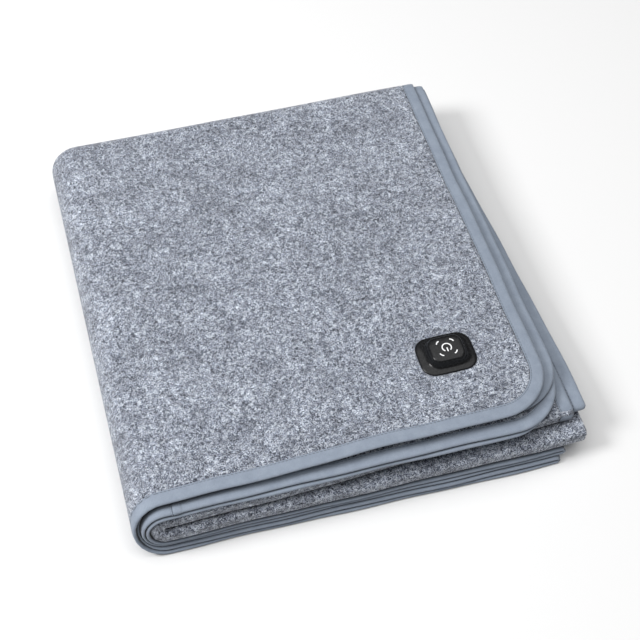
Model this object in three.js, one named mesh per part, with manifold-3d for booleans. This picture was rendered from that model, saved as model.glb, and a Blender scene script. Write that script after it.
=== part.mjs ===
// Folded heated throw: two felt faces bound with tape, heating films between
// them, and a soft button controller let into the top ply near one corner.
// Millimetres, +Z up. Origin under the middle of the folded stack.
// The front edges face -Y, the long left-hand fold lies at -X.

import * as THREE from 'three';
import { mergeVertices } from 'three/addons/utils/BufferGeometryUtils.js';
import Module from 'manifold-3d';

const wasm = await Module();
wasm.setup();

// ---------- driving dimensions ----------

const FELT = 1.0;              // thickness of each felt face
const FILM = 0.2;              // thickness of a heating film and of its leads
const LAYER_GAP = 0.3;         // play between a felt face and the film
const PLY_GAP = 0.3;           // play between folded plies
const PLY = 2 * FELT + 2 * LAYER_GAP + FILM;
const PITCH = PLY + PLY_GAP;
const PLIES = 16;

const STACK_WIDTH = 360;       // folded size left to right
const STACK_DEPTH = 392;       // folded size front to back

const TAPE = 0.5;              // binding tape thickness
const TAPE_WIDTH = 11.5;       // tape showing on each face
const TAPE_GAP = 0.1;          // play between tape and felt
const CORNER_RADIUS = 45;      // rounded corners of the throw, over the tape

const FOLD_STEPS = 6;          // flats in each wide turn
const HAIRPIN_STEPS = 4;       // flats in each narrow turn
const CORNER_STEPS = 5;        // flats in each rounded corner

const BUTTON_FROM_RIGHT = 95.4; // middle of the controller, in from the stack's sides
const BUTTON_FROM_FRONT = 88.7;
const SKIRT_LIP = 5.3;         // soft skirt beyond the cap, front and back
const SKIRT_SIDE_LIP = 8.4;    // and to the left and right
const SKIRT_RADIUS = 9;
const SKIRT_HEIGHT = 1.1;
const CAP = 25.4;              // raised soft cap, front to back at its base
const CAP_WIDER = 2.8;         // how much wider it is from left to right
const CAP_RADIUS = 6.5;
const CAP_HEIGHT = 7.4;
const CAP_WALL = 1.4;
const CAP_GAP = 0.35;          // play between cap and skirt
const TRAVEL = 0.8;            // press of the cap

const TRAY = 24;               // housing that passes through the felt
const TRAY_WALL = 1.1;
const TRAY_FLOOR = 1.4;
const TRAY_RADIUS = 3;
const PLATE_LIP = 4.5;         // front plate beyond the tray, under the skirt
const PLATE_THICKNESS = 0.7;
const CUTOUT_GAP = 0.4;        // play between housing and felt
const REAR_LIP = 5;            // rear cover, beyond the tray on every side
const REAR_THICKNESS = 3.4;
const REAR_RADIUS = 5;
const SEAT = 0.1;              // play between clamped faces
const BOARD_GAP = 0.6;         // play between board and tray wall
const BOARD_THICKNESS = 0.6;
const SCREW_RADIUS = 0.7;
const SCREW_HEAD_RADIUS = 1.4;
const SCREW_HEAD = 0.9;
const SCREW_INSET = 4.5;       // screws, in from the tray's sides
const SCREW_GAP = 0.15;
const SWITCH = 6;
const SWITCH_HEIGHT = 1.5;
const PLUNGER_RADIUS = 1.6;
const PLUNGER_HEIGHT = 1.3;
const PLUNGER_GAP = 0.2;
const LIFT_CLEARANCE = 0.3;    // play between rear cover and the ply below

const FILM_WIDTH = 230;        // heating film panel, left to right
const FILM_LENGTH = 262;
const LEAD_WIDTH = 9;          // flat leads between the panels
const LEAD_GAP = 0.35;
const FEED_BEHIND = 70;        // cross feed, behind the controller's housing

// ---------- the fold: flat cloth coordinates to folded space ----------

// Ply numbers, counted from the top, for each row of each column.
const PLY_AT = [
  [1, 8, 5, 4],
  [16, 9, 12, 13],
  [15, 10, 11, 14],
  [2, 7, 6, 3],
];

const EDGE = TAPE + 0.4;                           // tape beyond the felt edge
const LEFT_TURN = -STACK_WIDTH / 2 + 7.5 * PITCH + PLY / 2;
const BACK_TURN = STACK_DEPTH / 2 - 3.5 * PITCH - PLY / 2;

// How far the first edge, the middle hairpin and the last edge stand back from the
// stack's right side, at the start and end of every straight and turn of the long
// direction.
const RIGHT_FIRST = [26, 26, 17, 13, 12, 16, 17, 22];
const RIGHT_HAIRPIN = [28.5, 25, 15, 6, 6.5, 16, 22, 23];
const RIGHT_LAST = [15, 17, 15, 2, 0, 14, 15, 18];
// How far the first row's edge, the middle fold's centre line and the last row's
// edge stand back from the stack's front, along the cross direction.
const FRONT_FIRST = [22.5, 20, 5, 0, 1, 6, 24, 28];
const FRONT_FOLD = [25, 17, 13, 11.5, 12, 13, 19, 26];
const FRONT_LAST = [11, 12, 8, 4.5, 3.5, 8, 14, 13];

const REACH = STACK_WIDTH / 2 - EDGE - LEFT_TURN;  // flat run of one column
const RUN = STACK_DEPTH / 2 - EDGE + BACK_TURN;    // flat run of one row
const LEFT_ARC = 38;                               // cloth taken by each turn
const HAIRPIN_ARC = 5;
const BACK_ARC = 20;
const FRONT_ARC = 10;
const ACROSS = [REACH, LEFT_ARC, REACH, HAIRPIN_ARC, REACH, LEFT_ARC, REACH];
const ALONG = [RUN, BACK_ARC, RUN, FRONT_ARC, RUN, BACK_ARC, RUN];
const ACROSS_STARTS = runningSums(ACROSS);
const ALONG_STARTS = runningSums(ALONG);
const FLAT_WIDTH = ACROSS_STARTS[7];
const FLAT_LENGTH = ALONG_STARTS[7];

const LIFT = REAR_THICKNESS + SEAT + LIFT_CLEARANCE - PLY_GAP;
const INNER = CORNER_RADIUS - EDGE;                // inset where corners turn square
const FREE_STEPS = 3;                              // flats along the free top ply

// The top ply lies lifted over the rear cover: fully up to the first flat's end,
// then down in a straight slope to the fold.
function taper(distance, length) {
  const slopeStart = INNER + (length - INNER) / FREE_STEPS;
  return Math.min(1, (length - distance) / (length - slopeStart));
}

function runningSums(lengths) {
  const sums = [0];
  for (const length of lengths) {
    sums.push(sums[sums.length - 1] + length);
  }
  return sums;
}

function ease(t) {
  const k = Math.min(Math.max(t, 0), 1);
  return k * k * (3 - 2 * k);
}

function plyLevel(number) {
  return PLY / 2 + (PLIES - number) * PITCH;
}

// Which straight or turn a flat coordinate falls in, and how far along it.
function locate(starts, distance) {
  let index = 0;
  while (index < 6 && distance > starts[index + 1]) {
    index += 1;
  }
  return { index, part: (distance - starts[index]) / (starts[index + 1] - starts[index]) };
}

function between(values, { index, part }) {
  return values[index] + (values[index + 1] - values[index]) * ease(part);
}

// The folded line of one column in the YZ plane, before the front is staggered.
function columnPoint(column, along) {
  const row = Math.floor(along.index / 2);
  const first = plyLevel(PLY_AT[column][row]);
  if (along.index % 2 === 0) {
    const fromBack = row % 2 === 0 ? 1 - along.part : along.part;
    return { y: BACK_TURN - fromBack * RUN, z: first };
  }
  const second = plyLevel(PLY_AT[column][row + 1]);
  const angle = along.part * Math.PI;
  const radius = (first - second) / 2;
  const middle = (first + second) / 2;
  const side = along.index === 3 ? -1 : 1;
  const centre = along.index === 3 ? BACK_TURN - RUN : BACK_TURN;
  return {
    y: centre + side * Math.abs(radius) * Math.sin(angle),
    z: middle + radius * Math.cos(angle),
  };
}

// Middle surface of the folded cloth at a flat position in millimetres.
function fold(acrossDistance, alongDistance) {
  const across = locate(ACROSS_STARTS, acrossDistance);
  const along = locate(ALONG_STARTS, alongDistance);
  const column = Math.floor(across.index / 2);
  const here = columnPoint(column, along);
  const setBacks = [RIGHT_FIRST, RIGHT_HAIRPIN, RIGHT_HAIRPIN, RIGHT_LAST];
  const right = STACK_WIDTH / 2 - between(setBacks[column], along) - EDGE;
  let x;
  let y = here.y;
  let z = here.z;
  if (across.index % 2 === 0) {
    const fromLeft = column % 2 === 0 ? 1 - across.part : across.part;
    x = LEFT_TURN + fromLeft * (right - LEFT_TURN);
  } else {
    const next = columnPoint(column + 1, along);
    const angle = across.part * Math.PI;
    const halfY = (here.y - next.y) / 2;
    const halfZ = (here.z - next.z) / 2;
    const swing = Math.hypot(halfY, halfZ) * Math.sin(angle);
    x = across.index === 3 ? right + swing : LEFT_TURN - swing;
    y = (here.y + next.y) / 2 + halfY * Math.cos(angle);
    z = (here.z + next.z) / 2 + halfZ * Math.cos(angle);
  }
  y += frontShift(across, along);
  if (across.index === 0 && along.index === 0) {
    z += LIFT * taper(acrossDistance, REACH) * taper(alongDistance, RUN);
  }
  return new THREE.Vector3(x, y, z);
}

// How far the cloth is staggered towards the front at a flat position.
function frontShift(across, along) {
  const plain = BACK_TURN - RUN;
  const row = Math.floor(along.index / 2);
  if (along.index === 1 || along.index === 5) {
    return 0;
  }
  const setBack = [FRONT_FIRST, FRONT_FOLD, FRONT_FOLD, FRONT_LAST][row];
  const isFold = row === 1 || row === 2;
  const target = between(setBack, across) - STACK_DEPTH / 2 + (isFold ? 0 : EDGE);
  if (along.index === 3) {
    return target - plain;
  }
  const fromBack = row % 2 === 0 ? 1 - along.part : along.part;
  return fromBack * (target - plain);
}

// A point held off the middle surface, towards the felt face when positive.
function offCloth(u, v, height) {
  const step = 0.01;
  const stepU = u > step ? -step : step;
  const stepV = v > step ? -step : step;
  const point = fold(u, v);
  const alongU = fold(u + stepU, v).sub(point).multiplyScalar(Math.sign(stepU));
  const alongV = fold(u, v + stepV).sub(point).multiplyScalar(Math.sign(stepV));
  const normal = alongV.cross(alongU).normalize();
  return point.addScaledVector(normal, height);
}

// ---------- stations of the cloth ----------

function stations(lengths, starts, total, wideSteps, narrowSteps) {
  const list = [INNER];
  for (let i = 0; i < 7; i += 1) {
    const from = i === 0 ? INNER : starts[i];
    const to = i === 6 ? total - INNER : starts[i + 1];
    let steps = i === 0 ? FREE_STEPS : 2;
    if (i % 2 === 1) {
      steps = i === 3 ? narrowSteps : wideSteps;
    }
    for (let k = 1; k <= steps; k += 1) {
      list.push(from + (to - from) * k / steps);
    }
  }
  return list;
}

const STATIONS_U = stations(ACROSS, ACROSS_STARTS, FLAT_WIDTH, FOLD_STEPS, HAIRPIN_STEPS);
const STATIONS_V = stations(ALONG, ALONG_STARTS, FLAT_LENGTH, FOLD_STEPS, HAIRPIN_STEPS);

// Points round the throw as an inner corner point and an outward direction, so
// that any inset is that point plus the direction times the remaining width.
function rim() {
  const points = [];
  const lowU = INNER;
  const highU = FLAT_WIDTH - INNER;
  const lowV = INNER;
  const highV = FLAT_LENGTH - INNER;
  const addSide = (list, make) => {
    for (const value of list.slice(0, -1)) {
      points.push(make(value));
    }
  };
  const addCorner = (u, v, startAngle) => {
    for (let k = 0; k < CORNER_STEPS; k += 1) {
      const angle = startAngle + (Math.PI / 2) * k / CORNER_STEPS;
      points.push({ u, v, du: Math.cos(angle), dv: Math.sin(angle) });
    }
  };
  addSide(STATIONS_U, (u) => ({ u, v: lowV, du: 0, dv: -1 }));
  addCorner(highU, lowV, -Math.PI / 2);
  addSide(STATIONS_V, (v) => ({ u: highU, v, du: 1, dv: 0 }));
  addCorner(highU, highV, 0);
  addSide([...STATIONS_U].reverse(), (u) => ({ u, v: highV, du: 0, dv: 1 }));
  addCorner(lowU, highV, Math.PI / 2);
  addSide([...STATIONS_V].reverse(), (v) => ({ u: lowU, v, du: -1, dv: 0 }));
  addCorner(lowU, lowV, Math.PI);
  return points;
}

const RIM = rim();

function rimPoint(index, inset, height) {
  const { u, v, du, dv } = RIM[index % RIM.length];
  const reach = INNER - inset;
  return offCloth(u + du * reach, v + dv * reach, height);
}

// ---------- mesh helpers ----------

function closedGeometry(points, faces) {
  const geometry = new THREE.BufferGeometry();
  const flat = points.flatMap((p) => [p.x, p.y, p.z]);
  geometry.setAttribute('position', new THREE.Float32BufferAttribute(flat, 3));
  geometry.setIndex(faces.flat());
  return mergeVertices(geometry, 1e-4);
}

function toSolid(geometry) {
  const plain = geometry.clone();
  plain.deleteAttribute('normal');
  plain.deleteAttribute('uv');
  const merged = mergeVertices(plain, 1e-4);
  return new wasm.Manifold(new wasm.Mesh({
    numProp: 3,
    vertProperties: new Float32Array(merged.attributes.position.array),
    triVerts: new Uint32Array(merged.index.array),
  }));
}

function fromSolid(solid) {
  const mesh = solid.getMesh();
  const geometry = new THREE.BufferGeometry();
  geometry.setAttribute('position', new THREE.BufferAttribute(mesh.vertProperties, 3));
  geometry.setIndex(new THREE.BufferAttribute(mesh.triVerts, 1));
  return geometry;
}

function cut(geometry, tools) {
  let solid = toSolid(geometry);
  for (const tool of tools) {
    solid = solid.subtract(toSolid(tool));
  }
  return fromSolid(solid);
}

function join(geometries) {
  let solid = toSolid(geometries[0]);
  for (const other of geometries.slice(1)) {
    solid = solid.add(toSolid(other));
  }
  return fromSolid(solid);
}

function roundedSquare(side, radius) {
  const half = side / 2;
  const flat = half - radius;
  const shape = new THREE.Shape();
  shape.absarc(flat, flat, radius, 0, Math.PI / 2);
  shape.absarc(-flat, flat, radius, Math.PI / 2, Math.PI);
  shape.absarc(-flat, -flat, radius, Math.PI, 1.5 * Math.PI);
  shape.absarc(flat, -flat, radius, 1.5 * Math.PI, 2 * Math.PI);
  shape.closePath();
  return shape;
}

function slab(shape, bottom, height, curveSegments = 4) {
  const geometry = new THREE.ExtrudeGeometry(shape, { depth: height, bevelEnabled: false, curveSegments });
  return geometry.translate(0, 0, bottom);
}

function block(width, depth, bottom, height, x = 0, y = 0) {
  return new THREE.BoxGeometry(width, depth, height).translate(x, y, bottom + height / 2);
}

function post(radius, bottom, height, x = 0, y = 0, sides = 14) {
  const geometry = new THREE.CylinderGeometry(radius, radius, height, sides);
  return geometry.rotateX(Math.PI / 2).translate(x, y, bottom + height / 2);
}

// ---------- cloth ----------

// One felt face: a sheet between two heights off the middle surface, squeezed
// to a smaller outer height where the binding tape grips it.
function feltSheet(side) {
  const inner = side * (FILM / 2 + LAYER_GAP);
  const outer = side * PLY / 2;
  const squeezed = side * (PLY / 2 - TAPE - TAPE_GAP);
  const shoulder = TAPE_WIDTH - EDGE + 0.3;
  const columns = STATIONS_U.length;
  const rows = STATIONS_V.length;
  const loops = [
    { inset: shoulder + 0.4, height: outer },
    { inset: shoulder, height: squeezed },
    { inset: 0, height: squeezed },
    { inset: 0, height: inner },
  ];
  const points = [];
  const faces = [];
  for (const height of [outer, inner]) {
    for (const v of STATIONS_V) {
      for (const u of STATIONS_U) {
        points.push(offCloth(u, v, height));
      }
    }
  }
  const turned = side < 0;
  const quad = (a, b, c, d, flip) => {
    if (flip !== turned) {
      faces.push([a, c, b], [a, d, c]);
    } else {
      faces.push([a, b, c], [a, c, d]);
    }
  };
  const layer = columns * rows;
  for (let j = 0; j < rows - 1; j += 1) {
    for (let i = 0; i < columns - 1; i += 1) {
      const a = j * columns + i;
      quad(a, a + 1, a + columns + 1, a + columns, true);
      quad(layer + a, layer + a + 1, layer + a + columns + 1, layer + a + columns, false);
    }
  }
  const borderOf = (start) => RIM.map(({ u, v }) => {
    const i = STATIONS_U.indexOf(u);
    const j = STATIONS_V.indexOf(v);
    return start + j * columns + i;
  });
  const rings = [borderOf(0)];
  for (const loop of loops) {
    const ring = RIM.map((_, k) => points.push(rimPoint(k, loop.inset, loop.height)) - 1);
    rings.push(ring);
  }
  rings.push(borderOf(layer));
  for (let r = 0; r < rings.length - 1; r += 1) {
    for (let k = 0; k < RIM.length; k += 1) {
      const n = (k + 1) % RIM.length;
      const [a, b, c, d] = [rings[r][k], rings[r][n], rings[r + 1][n], rings[r + 1][k]];
      // Every strip is split from its inner corner, so neighbours fold alike.
      if (r < rings.length - 2) {
        quad(a, b, c, d, false);
      } else {
        quad(b, c, d, a, false);
      }
    }
  }
  const kept = faces.filter(([a, b, c]) => a !== b && b !== c && a !== c);
  return closedGeometry(points, kept);
}

// Binding tape: a C section folded over the edge, carried round the rim.
function bindingTape() {
  const top = PLY / 2;
  const under = top - TAPE;
  const section = [
    [TAPE_WIDTH - EDGE, top], [0.4, top], [-EDGE + 0.15, top * 0.62], [-EDGE, 0],
    [-EDGE + 0.15, -top * 0.62], [0.4, -top], [TAPE_WIDTH - EDGE, -top],
    [TAPE_WIDTH - EDGE, -under], [0.3, -under], [-EDGE + TAPE, -under + 0.15],
    [-EDGE + TAPE, under - 0.15], [0.3, under], [TAPE_WIDTH - EDGE, under],
  ];
  const points = [];
  const faces = [];
  const count = section.length;
  for (let k = 0; k < RIM.length; k += 1) {
    for (const [inset, height] of section) {
      points.push(rimPoint(k, inset, height));
    }
  }
  for (let k = 0; k < RIM.length; k += 1) {
    const next = (k + 1) % RIM.length;
    for (let s = 0; s < count; s += 1) {
      const t = (s + 1) % count;
      const a = k * count + s;
      const b = k * count + t;
      const c = next * count + t;
      const d = next * count + s;
      if (section[s][0] >= section[t][0]) {
        faces.push([a, c, b], [a, d, c]);
      } else {
        faces.push([a, d, b], [b, d, c]);
      }
    }
  }
  return closedGeometry(points, faces);
}

// Stations of the cloth between two flat distances, ends included.
function spanOf(list, from, to) {
  const inside = list.filter((value) => value > from + 0.5 && value < to - 0.5);
  return [from, ...inside, to];
}

// A thin strip or panel of film lying in the middle of the cloth, over a flat
// rectangle given by its ends across and along the throw.
function filmStrip(fromU, toU, fromV, toV) {
  const listU = spanOf(STATIONS_U, fromU, toU);
  const listV = spanOf(STATIONS_V, fromV, toV);
  const points = [];
  const faces = [];
  const columns = listU.length;
  const rows = listV.length;
  for (const height of [FILM / 2, -FILM / 2]) {
    for (const v of listV) {
      for (const u of listU) {
        points.push(offCloth(u, v, height));
      }
    }
  }
  const layer = columns * rows;
  const end = columns - 1;
  const top = rows - 1;
  const at = (i, j, level) => level * layer + j * columns + i;
  const quad = (a, b, c, d) => faces.push([a, b, c], [a, c, d]);
  for (let j = 0; j < rows - 1; j += 1) {
    for (let i = 0; i < columns - 1; i += 1) {
      quad(at(i, j, 0), at(i, j + 1, 0), at(i + 1, j + 1, 0), at(i + 1, j, 0));
      quad(at(i, j, 1), at(i + 1, j, 1), at(i + 1, j + 1, 1), at(i, j + 1, 1));
    }
  }
  for (let i = 0; i < columns - 1; i += 1) {
    quad(at(i, 0, 0), at(i + 1, 0, 0), at(i + 1, 0, 1), at(i, 0, 1));
    quad(at(i, top, 0), at(i, top, 1), at(i + 1, top, 1), at(i + 1, top, 0));
  }
  for (let j = 0; j < rows - 1; j += 1) {
    quad(at(0, j, 0), at(0, j, 1), at(0, j + 1, 1), at(0, j + 1, 0));
    quad(at(end, j, 0), at(end, j + 1, 0), at(end, j + 1, 1), at(end, j, 1));
  }
  return closedGeometry(points, faces);
}

// ---------- assembly ----------

const throwGroup = new THREE.Group();

function addPiece(name, geometry, color, roughness, metalness = 0, parent = throwGroup) {
  const material = new THREE.MeshStandardMaterial({ color, roughness, metalness });
  const mesh = new THREE.Mesh(geometry, material);
  mesh.name = name;
  parent.add(mesh);
  return mesh;
}

const buttonX = STACK_WIDTH / 2 - BUTTON_FROM_RIGHT;
const buttonY = BUTTON_FROM_FRONT - STACK_DEPTH / 2;
const buttonLevel = plyLevel(1) + LIFT;
const openingSide = TRAY + 2 * CUTOUT_GAP;
const opening = block(openingSide, openingSide, buttonLevel - PLY, 2 * PLY, buttonX, buttonY);

addPiece('face_felt', cut(feltSheet(1), [opening]), 0x8e9299, 0.95);
addPiece('back_felt', cut(feltSheet(-1), [opening]), 0x8e9299, 0.95);
addPiece('binding_tape', bindingTape(), 0x6d7d8c, 0.8);

// Flat position under a point of the top ply.
function topPlyFlat(x, y) {
  const right = STACK_WIDTH / 2 - RIGHT_FIRST[0] - EDGE;
  const front = FRONT_FIRST[0] - STACK_DEPTH / 2 + EDGE;
  return {
    u: (right - x) * REACH / (right - LEFT_TURN),
    v: (y - front) * RUN / (BACK_TURN - front),
  };
}

// Heating films, one in each ply of the two middle rows, and their leads.
const PANEL_MARGIN_U = (REACH - FILM_WIDTH) / 2;
const PANEL_MARGIN_V = (RUN - FILM_LENGTH) / 2;
const FEED_V = topPlyFlat(buttonX, buttonY + TRAY / 2 + FEED_BEHIND).v;   // cross feed's front edge
for (let column = 0; column < 4; column += 1) {
  const startU = ACROSS_STARTS[2 * column] + PANEL_MARGIN_U;
  const endU = startU + FILM_WIDTH;
  const leadU = startU + FILM_WIDTH / 2 - LEAD_WIDTH / 2;
  const leadEnd = leadU + LEAD_WIDTH;
  const firstV = ALONG_STARTS[2] + PANEL_MARGIN_V;
  const secondV = ALONG_STARTS[4] + PANEL_MARGIN_V;
  const firstPanel = filmStrip(startU, endU, firstV, firstV + FILM_LENGTH);
  const secondPanel = filmStrip(startU, endU, secondV, secondV + FILM_LENGTH);
  const backLead = filmStrip(leadU, leadEnd, FEED_V + LEAD_WIDTH + LEAD_GAP, firstV - LEAD_GAP);
  const frontLead = filmStrip(leadU, leadEnd, firstV + FILM_LENGTH + LEAD_GAP, secondV - LEAD_GAP);
  addPiece(`heating_film_${2 * column + 1}`, firstPanel, 0x26262a, 0.6);
  addPiece(`heating_film_${2 * column + 2}`, secondPanel, 0x26262a, 0.6);
  addPiece(`back_fold_lead_${column + 1}`, backLead, 0xb87a4a, 0.5, 0.4);
  addPiece(`front_fold_lead_${column + 1}`, frontLead, 0xb87a4a, 0.5, 0.4);
}
const feedStart = topPlyFlat(buttonX, buttonY + TRAY / 2 + LEAD_GAP);
const feedFrom = feedStart.u - LEAD_WIDTH / 2;
const feedTo = ACROSS_STARTS[6] + PANEL_MARGIN_U + FILM_WIDTH / 2 + LEAD_WIDTH / 2;
const crossFeed = filmStrip(feedFrom, feedTo, FEED_V, FEED_V + LEAD_WIDTH);
const buttonLead = filmStrip(feedFrom, feedFrom + LEAD_WIDTH, feedStart.v, FEED_V - LEAD_GAP);
addPiece('cross_feed', crossFeed, 0xb87a4a, 0.5, 0.4);
addPiece('button_lead', buttonLead, 0xb87a4a, 0.5, 0.4);

// ---------- controller ----------

const controller = new THREE.Group();
controller.position.set(buttonX, buttonY, buttonLevel);
throwGroup.add(controller);
const addPart = (name, geometry, color, roughness, metalness) => (
  addPiece(name, geometry, color, roughness, metalness, controller)
);

// A closed solid through rounded-square rings given as [half depth, radius, z, how
// much more its half width is].
function ringLoft(rings, closed) {
  const perCorner = 5;
  const points = [];
  const faces = [];
  const count = 4 * (perCorner + 1);
  for (const [half, radius, z, wider = 0] of rings) {
    for (let c = 0; c < 4; c += 1) {
      for (let k = 0; k <= perCorner; k += 1) {
        const angle = (Math.PI / 2) * (c + k / perCorner);
        const signX = c === 0 || c === 3 ? 1 : -1;
        const signY = c < 2 ? 1 : -1;
        const x = signX * (half + wider - radius) + radius * Math.cos(angle);
        const y = signY * (half - radius) + radius * Math.sin(angle);
        points.push(new THREE.Vector3(x, y, z));
      }
    }
  }
  const last = closed ? rings.length : rings.length - 1;
  for (let r = 0; r < last; r += 1) {
    const s = (r + 1) % rings.length;
    for (let k = 0; k < count; k += 1) {
      const n = (k + 1) % count;
      const corner = r * count + k;
      const opposite = s * count + n;
      faces.push([corner, r * count + n, opposite], [corner, opposite, s * count + k]);
    }
  }
  if (!closed) {
    const bottom = points.push(new THREE.Vector3(0, 0, rings[0][2])) - 1;
    const top = points.push(new THREE.Vector3(0, 0, rings[rings.length - 1][2])) - 1;
    const start = (rings.length - 1) * count;
    for (let k = 0; k < count; k += 1) {
      const n = (k + 1) % count;
      faces.push([bottom, n, k], [top, start + k, start + n]);
    }
  }
  return closedGeometry(points, faces);
}

const feltTop = PLY / 2;
const plateBottom = feltTop + SEAT;
const plateTop = plateBottom + PLATE_THICKNESS;
const skirtBottom = plateTop + SEAT;
const skirtTop = skirtBottom + SKIRT_HEIGHT;
const trayBottom = -PLY / 2 - SEAT;
const floorTop = trayBottom + TRAY_FLOOR;
const boardBottom = floorTop + SEAT;
const boardTop = boardBottom + BOARD_THICKNESS;
const capBottom = plateTop + TRAVEL + 0.2;
const capTop = capBottom + CAP_HEIGHT;
const capHalf = CAP / 2;
const screwAt = TRAY / 2 - SCREW_INSET;
const SCREW_PLACES = [[-1, -1], [1, -1], [1, 1], [-1, 1]];

// The skirt lies on the felt over the front plate, thinning out to its lip.
const skirtInner = capHalf + CAP_GAP;
const skirtHalf = capHalf + SKIRT_LIP;
const plateHalf = TRAY / 2 + PLATE_LIP;
const capWider = CAP_WIDER / 2;
const skirtWider = capWider + SKIRT_SIDE_LIP - SKIRT_LIP;
const skirtRings = [
  [skirtInner, CAP_RADIUS + CAP_GAP, skirtBottom, capWider],
  [skirtInner, CAP_RADIUS + CAP_GAP, skirtTop, capWider],
  [skirtHalf - 1.2, SKIRT_RADIUS - 1.2, skirtTop - 0.1, skirtWider],
  [skirtHalf, SKIRT_RADIUS, skirtBottom + 0.2, skirtWider],
  [skirtHalf, SKIRT_RADIUS, plateBottom, skirtWider],
  [plateHalf + CUTOUT_GAP, SKIRT_RADIUS - 1, plateBottom],
  [plateHalf + CUTOUT_GAP, SKIRT_RADIUS - 1, skirtBottom],
].reverse();
addPart('button_skirt', ringLoft(skirtRings, true), 0x17181a, 0.45);

// The cap is a hollow dome, with a post under its middle that meets the switch.
const underside = capTop - CAP_WALL;
const cavityHalf = capHalf - CAP_WALL;
const capShell = ringLoft([
  [capHalf, CAP_RADIUS, capBottom, capWider],
  [capHalf - 0.3, CAP_RADIUS, capBottom + 0.5 * CAP_HEIGHT, capWider],
  [capHalf - 1.0, CAP_RADIUS, capBottom + 0.8 * CAP_HEIGHT, capWider],
  [capHalf - 2.2, CAP_RADIUS - 0.7, capBottom + 0.95 * CAP_HEIGHT, capWider],
  [capHalf - 3.6, CAP_RADIUS - 1.7, capTop, capWider],
], false);
const capCavity = ringLoft([
  [cavityHalf, CAP_RADIUS - CAP_WALL, capBottom - 1, capWider],
  [cavityHalf - 0.3, CAP_RADIUS - CAP_WALL, capBottom + 0.5 * CAP_HEIGHT, capWider],
  [cavityHalf - 1.6, CAP_RADIUS - CAP_WALL, underside, capWider],
], false);
const switchTop = boardTop + SEAT + SWITCH_HEIGHT;
const plungerTop = switchTop + PLUNGER_GAP + PLUNGER_HEIGHT;
const postBottom = plungerTop + PLUNGER_GAP;
const capPost = post(PLUNGER_RADIUS + 0.6, postBottom, underside - postBottom + 0.5);
addPart('button_cap', join([cut(capShell, [capCavity]), capPost]), 0x17181a, 0.45);

// Printed power sign and four corner arcs on the cap; the sign opens to the front.
const SIGN_RADIUS = 3.6;
const SIGN_STROKE = 0.9;
const SIGN_OPENING = 0.62;
const ARC_REACH = 0.67 * capHalf;   // arcs, out from the middle
const ARC_RADIUS = 3.2;
const ARC_SPAN = 1.2;
const SIGN_THICKNESS = 0.2;
const signBottom = capTop + 0.05;
const FRONT = -Math.PI / 2;

function strokeArc(radius, from, to, stroke) {
  const shape = new THREE.Shape();
  shape.absarc(0, 0, radius + stroke / 2, from, to, false);
  shape.absarc(0, 0, radius - stroke / 2, to, from, true);
  shape.closePath();
  return shape;
}

const ringEnd = FRONT + 2 * Math.PI - SIGN_OPENING;
const ringShape = strokeArc(SIGN_RADIUS, FRONT + SIGN_OPENING, ringEnd, SIGN_STROKE);
addPart('power_ring', slab(ringShape, signBottom, SIGN_THICKNESS, 16), 0xe8eaec, 0.5);
const bar = block(SIGN_STROKE, SIGN_RADIUS, signBottom, SIGN_THICKNESS, 0, -SIGN_RADIUS / 2 - 0.3);
addPart('power_bar', bar, 0xe8eaec, 0.5);
for (let k = 0; k < 4; k += 1) {
  const middle = Math.PI / 4 + k * Math.PI / 2;
  const arc = strokeArc(ARC_RADIUS, middle - ARC_SPAN / 2, middle + ARC_SPAN / 2, SIGN_STROKE);
  const centre = ARC_REACH - ARC_RADIUS;
  const stroke = slab(arc, signBottom, SIGN_THICKNESS, 5);
  stroke.translate(centre * Math.cos(middle), centre * Math.sin(middle), 0);
  addPart(`corner_arc_${k + 1}`, stroke, 0xe8eaec, 0.5);
}

// Housing: a tray through the felt, with a thin plate over the face of the felt.
const screwHoles = SCREW_PLACES.map(([sx, sy]) => (
  post(SCREW_RADIUS + SCREW_GAP, trayBottom - 1, TRAY_FLOOR - 0.3 + 1, sx * screwAt, sy * screwAt)
));
const trayInside = TRAY - 2 * TRAY_WALL;
addPart('switch_housing', cut(join([
  slab(roundedSquare(TRAY, TRAY_RADIUS), trayBottom, plateTop - trayBottom),
  slab(roundedSquare(2 * plateHalf, SKIRT_RADIUS - 1.5), plateBottom, PLATE_THICKNESS),
]), [
  slab(roundedSquare(trayInside, TRAY_RADIUS - TRAY_WALL), floorTop, 2 * PLY),
  ...screwHoles,
]), 0x2b2d30, 0.6);

const SOCKET_WIDTH = 9;
const SOCKET_DEPTH = 8;
const SOCKET_HEIGHT = 2.6;
const SOCKET_WALL = 0.4;
const rearTop = trayBottom - SEAT;
const rearBottom = rearTop - REAR_THICKNESS;
const socketBottom = rearBottom + (REAR_THICKNESS - SOCKET_HEIGHT) / 2;
const rear = TRAY + 2 * REAR_LIP;
const socketY = rear / 2 - SOCKET_DEPTH / 2;
addPart('rear_cover', cut(slab(roundedSquare(rear, REAR_RADIUS), rearBottom, REAR_THICKNESS), [
  block(SOCKET_WIDTH + 0.6, SOCKET_DEPTH + 0.6, rearBottom - 1, REAR_THICKNESS + 2, 0, socketY + 0.3),
  ...SCREW_PLACES.flatMap(([sx, sy]) => [
    post(SCREW_RADIUS + SCREW_GAP, rearBottom - 1, REAR_THICKNESS + 2, sx * screwAt, sy * screwAt),
    post(SCREW_HEAD_RADIUS + SCREW_GAP, rearBottom - 1, SCREW_HEAD + 1.2, sx * screwAt, sy * screwAt),
  ]),
]), 0x2b2d30, 0.6);
const mouthWidth = SOCKET_WIDTH - 2 * SOCKET_WALL;
const mouthHeight = SOCKET_HEIGHT - 2 * SOCKET_WALL;
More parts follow.
